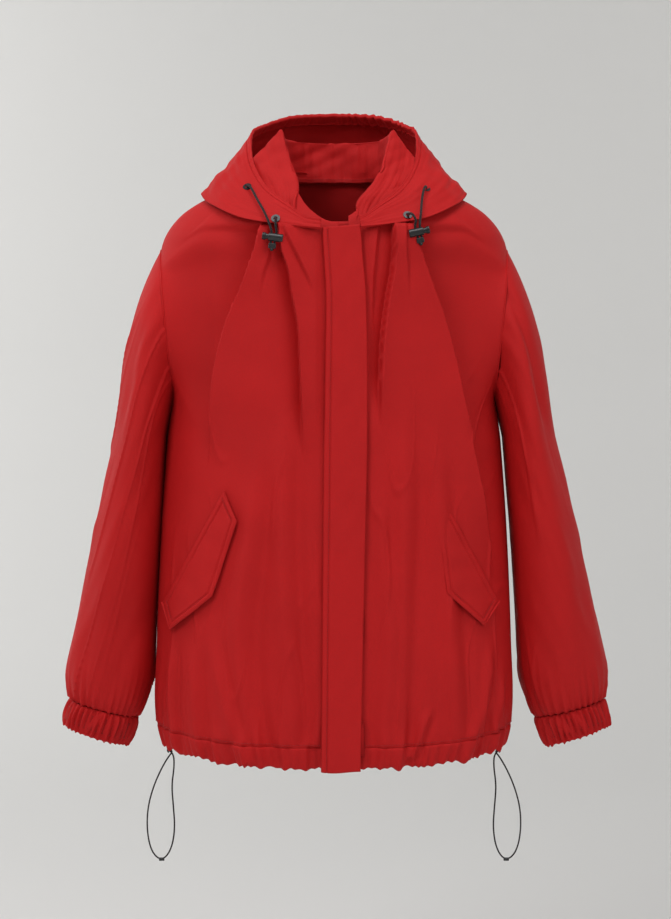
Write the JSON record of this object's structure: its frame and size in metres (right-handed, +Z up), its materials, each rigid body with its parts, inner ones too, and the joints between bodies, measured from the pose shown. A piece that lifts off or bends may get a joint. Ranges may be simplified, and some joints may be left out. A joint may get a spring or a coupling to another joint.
{
  "type": "hooded shell jacket",
  "caption": "Hooded zip jacket with storm flap, slanted pocket flaps, gathered cuffs and hem, an open hood with drawcords and locks, hung at its back neck.",
  "frame": {"origin": "middle of the width, at the height of the shoulders where the back neck seam is held", "axes": "+Z up, the front faces -Y, +X is the wearer's left"},
  "size_m": [0.7096, 0.301, 0.9831],
  "materials": {
    "shell_cloth": "matte close-woven nylon",
    "lining_cloth": "matte thin lining",
    "elastic_webbing": "woven elastic",
    "zip_tape": "woven tape",
    "zip_plastic": "moulded, satin",
    "blackened_metal": "black lacquer",
    "hook_and_loop": "napped",
    "black_cord": "braided",
    "black_plastic": "moulded, satin"
  },
  "bodies": {
    "jacket": {"front_panel_left": "shell_cloth", "front_panel_right": "shell_cloth", "back_panel": "shell_cloth", "hem_channel": "shell_cloth", "hem_elastic": "elastic_webbing", "armhole_seam_left": "shell_cloth", "armhole_seam_right": "shell_cloth", "stand_collar": "shell_cloth", "neck_tape": "lining_cloth", "zip_tape_left": "zip_tape", "zip_tape_right": "zip_tape", "zip_teeth_left": "zip_plastic", "zip_teeth_right": "zip_plastic", "zip_top_stops": "zip_plastic", "zip_retainer_box": "zip_plastic", "zip_guard": "shell_cloth", "flap_seam_fold": "shell_cloth", "flap_loop_patches": "hook_and_loop", "pocket_welt_left": "shell_cloth", "pocket_welt_right": "shell_cloth", "pocket_bag_left": "lining_cloth", "pocket_bag_right": "lining_cloth", "hem_eyelets": "blackened_metal", "hem_cord_loop_left": "black_cord", "hem_cord_loop_right": "black_cord", "hem_cord_bead_left": "black_plastic", "hem_cord_bead_right": "black_plastic"},
    "hood": {"hood_side_left": "shell_cloth", "hood_side_right": "shell_cloth", "hood_centre": "shell_cloth", "hood_brim_channel": "shell_cloth", "hood_eyelets_left": "blackened_metal", "hood_eyelets_right": "blackened_metal", "hood_cord_left": "black_cord", "hood_cord_right": "black_cord", "cord_lock_left": "black_plastic", "cord_lock_right": "black_plastic", "cord_end_left": "black_plastic", "cord_end_right": "black_plastic", "lock_spring_left": "blackened_metal", "lock_spring_right": "blackened_metal"},
    "sleeve_left": {"sleeve_left": "shell_cloth", "cuff_left": "shell_cloth", "cuff_elastic_left": "elastic_webbing"},
    "sleeve_right": {"sleeve_right": "shell_cloth", "cuff_right": "shell_cloth", "cuff_elastic_right": "elastic_webbing"},
    "storm_flap": {"storm_flap": "shell_cloth", "flap_hook_patches": "hook_and_loop"},
    "pocket_flap_left": {"pocket_flap_left": "shell_cloth"},
    "pocket_flap_right": {"pocket_flap_right": "shell_cloth"},
    "zip_slider": {"zip_slider": "blackened_metal"},
    "zip_pull": {"zip_pull": "zip_plastic"},
    "lock_button_left": {"lock_button_left": "black_plastic"},
    "lock_button_right": {"lock_button_right": "black_plastic"}
  },
  "joints": [
    {"name": "sleeve_left_swing", "type": "hinge", "parent": "jacket", "child": "sleeve_left", "pos_m": [0.226, 0, -0.058], "axis": [0, -1, 0], "range_deg": [0, 65]},
    {"name": "sleeve_right_swing", "type": "hinge", "parent": "jacket", "child": "sleeve_right", "pos_m": [-0.226, 0, -0.058], "axis": [0, 1, 0], "range_deg": [0, 65]},
    {"name": "hood_raise", "type": "hinge", "parent": "jacket", "child": "hood", "pos_m": [0, -0.118, -0.07], "axis": [1, 0, 0], "range_deg": [0, 45]},
    {"name": "storm_flap_open", "type": "hinge", "parent": "jacket", "child": "storm_flap", "pos_m": [-0.013, -0.13686, -0.37572], "axis": [0, -0.0269, -0.9996], "range_deg": [0, 130]},
    {"name": "pocket_flap_left_lift", "type": "hinge", "parent": "jacket", "child": "pocket_flap_left", "pos_m": [0.14188, -0.12297, -0.36789], "axis": [-0.4611, -0.3286, 0.8243], "range_deg": [0, 150]},
    {"name": "pocket_flap_right_lift", "type": "hinge", "parent": "jacket", "child": "pocket_flap_right", "pos_m": [-0.14188, -0.12297, -0.36789], "axis": [-0.4611, 0.3286, -0.8243], "range_deg": [0, 150]},
    {"name": "zip_slide", "type": "slide", "parent": "jacket", "child": "zip_slider", "axis": [0, 0.0269, 0.9996], "range_m": [-0.6, 0]},
    {"name": "zip_pull_swing", "type": "hinge", "parent": "zip_slider", "child": "zip_pull", "pos_m": [0.012, -0.12426, -0.05944], "axis": [0, -0.9996, 0.0269], "range_deg": [-35, 35]},
    {"name": "lock_button_left_press", "type": "slide", "parent": "hood", "child": "lock_button_left", "axis": [-0.9781, 0, -0.2079], "range_m": [0, 0.0028], "stiffness_N_per_m": 300, "springref_m": -0.001, "deforming": ["lock_spring_left"]},
    {"name": "lock_button_right_press", "type": "slide", "parent": "hood", "child": "lock_button_right", "axis": [0.9903, 0, -0.1392], "range_m": [0, 0.0028], "stiffness_N_per_m": 300, "springref_m": -0.001, "deforming": ["lock_spring_right"]}
  ]
}
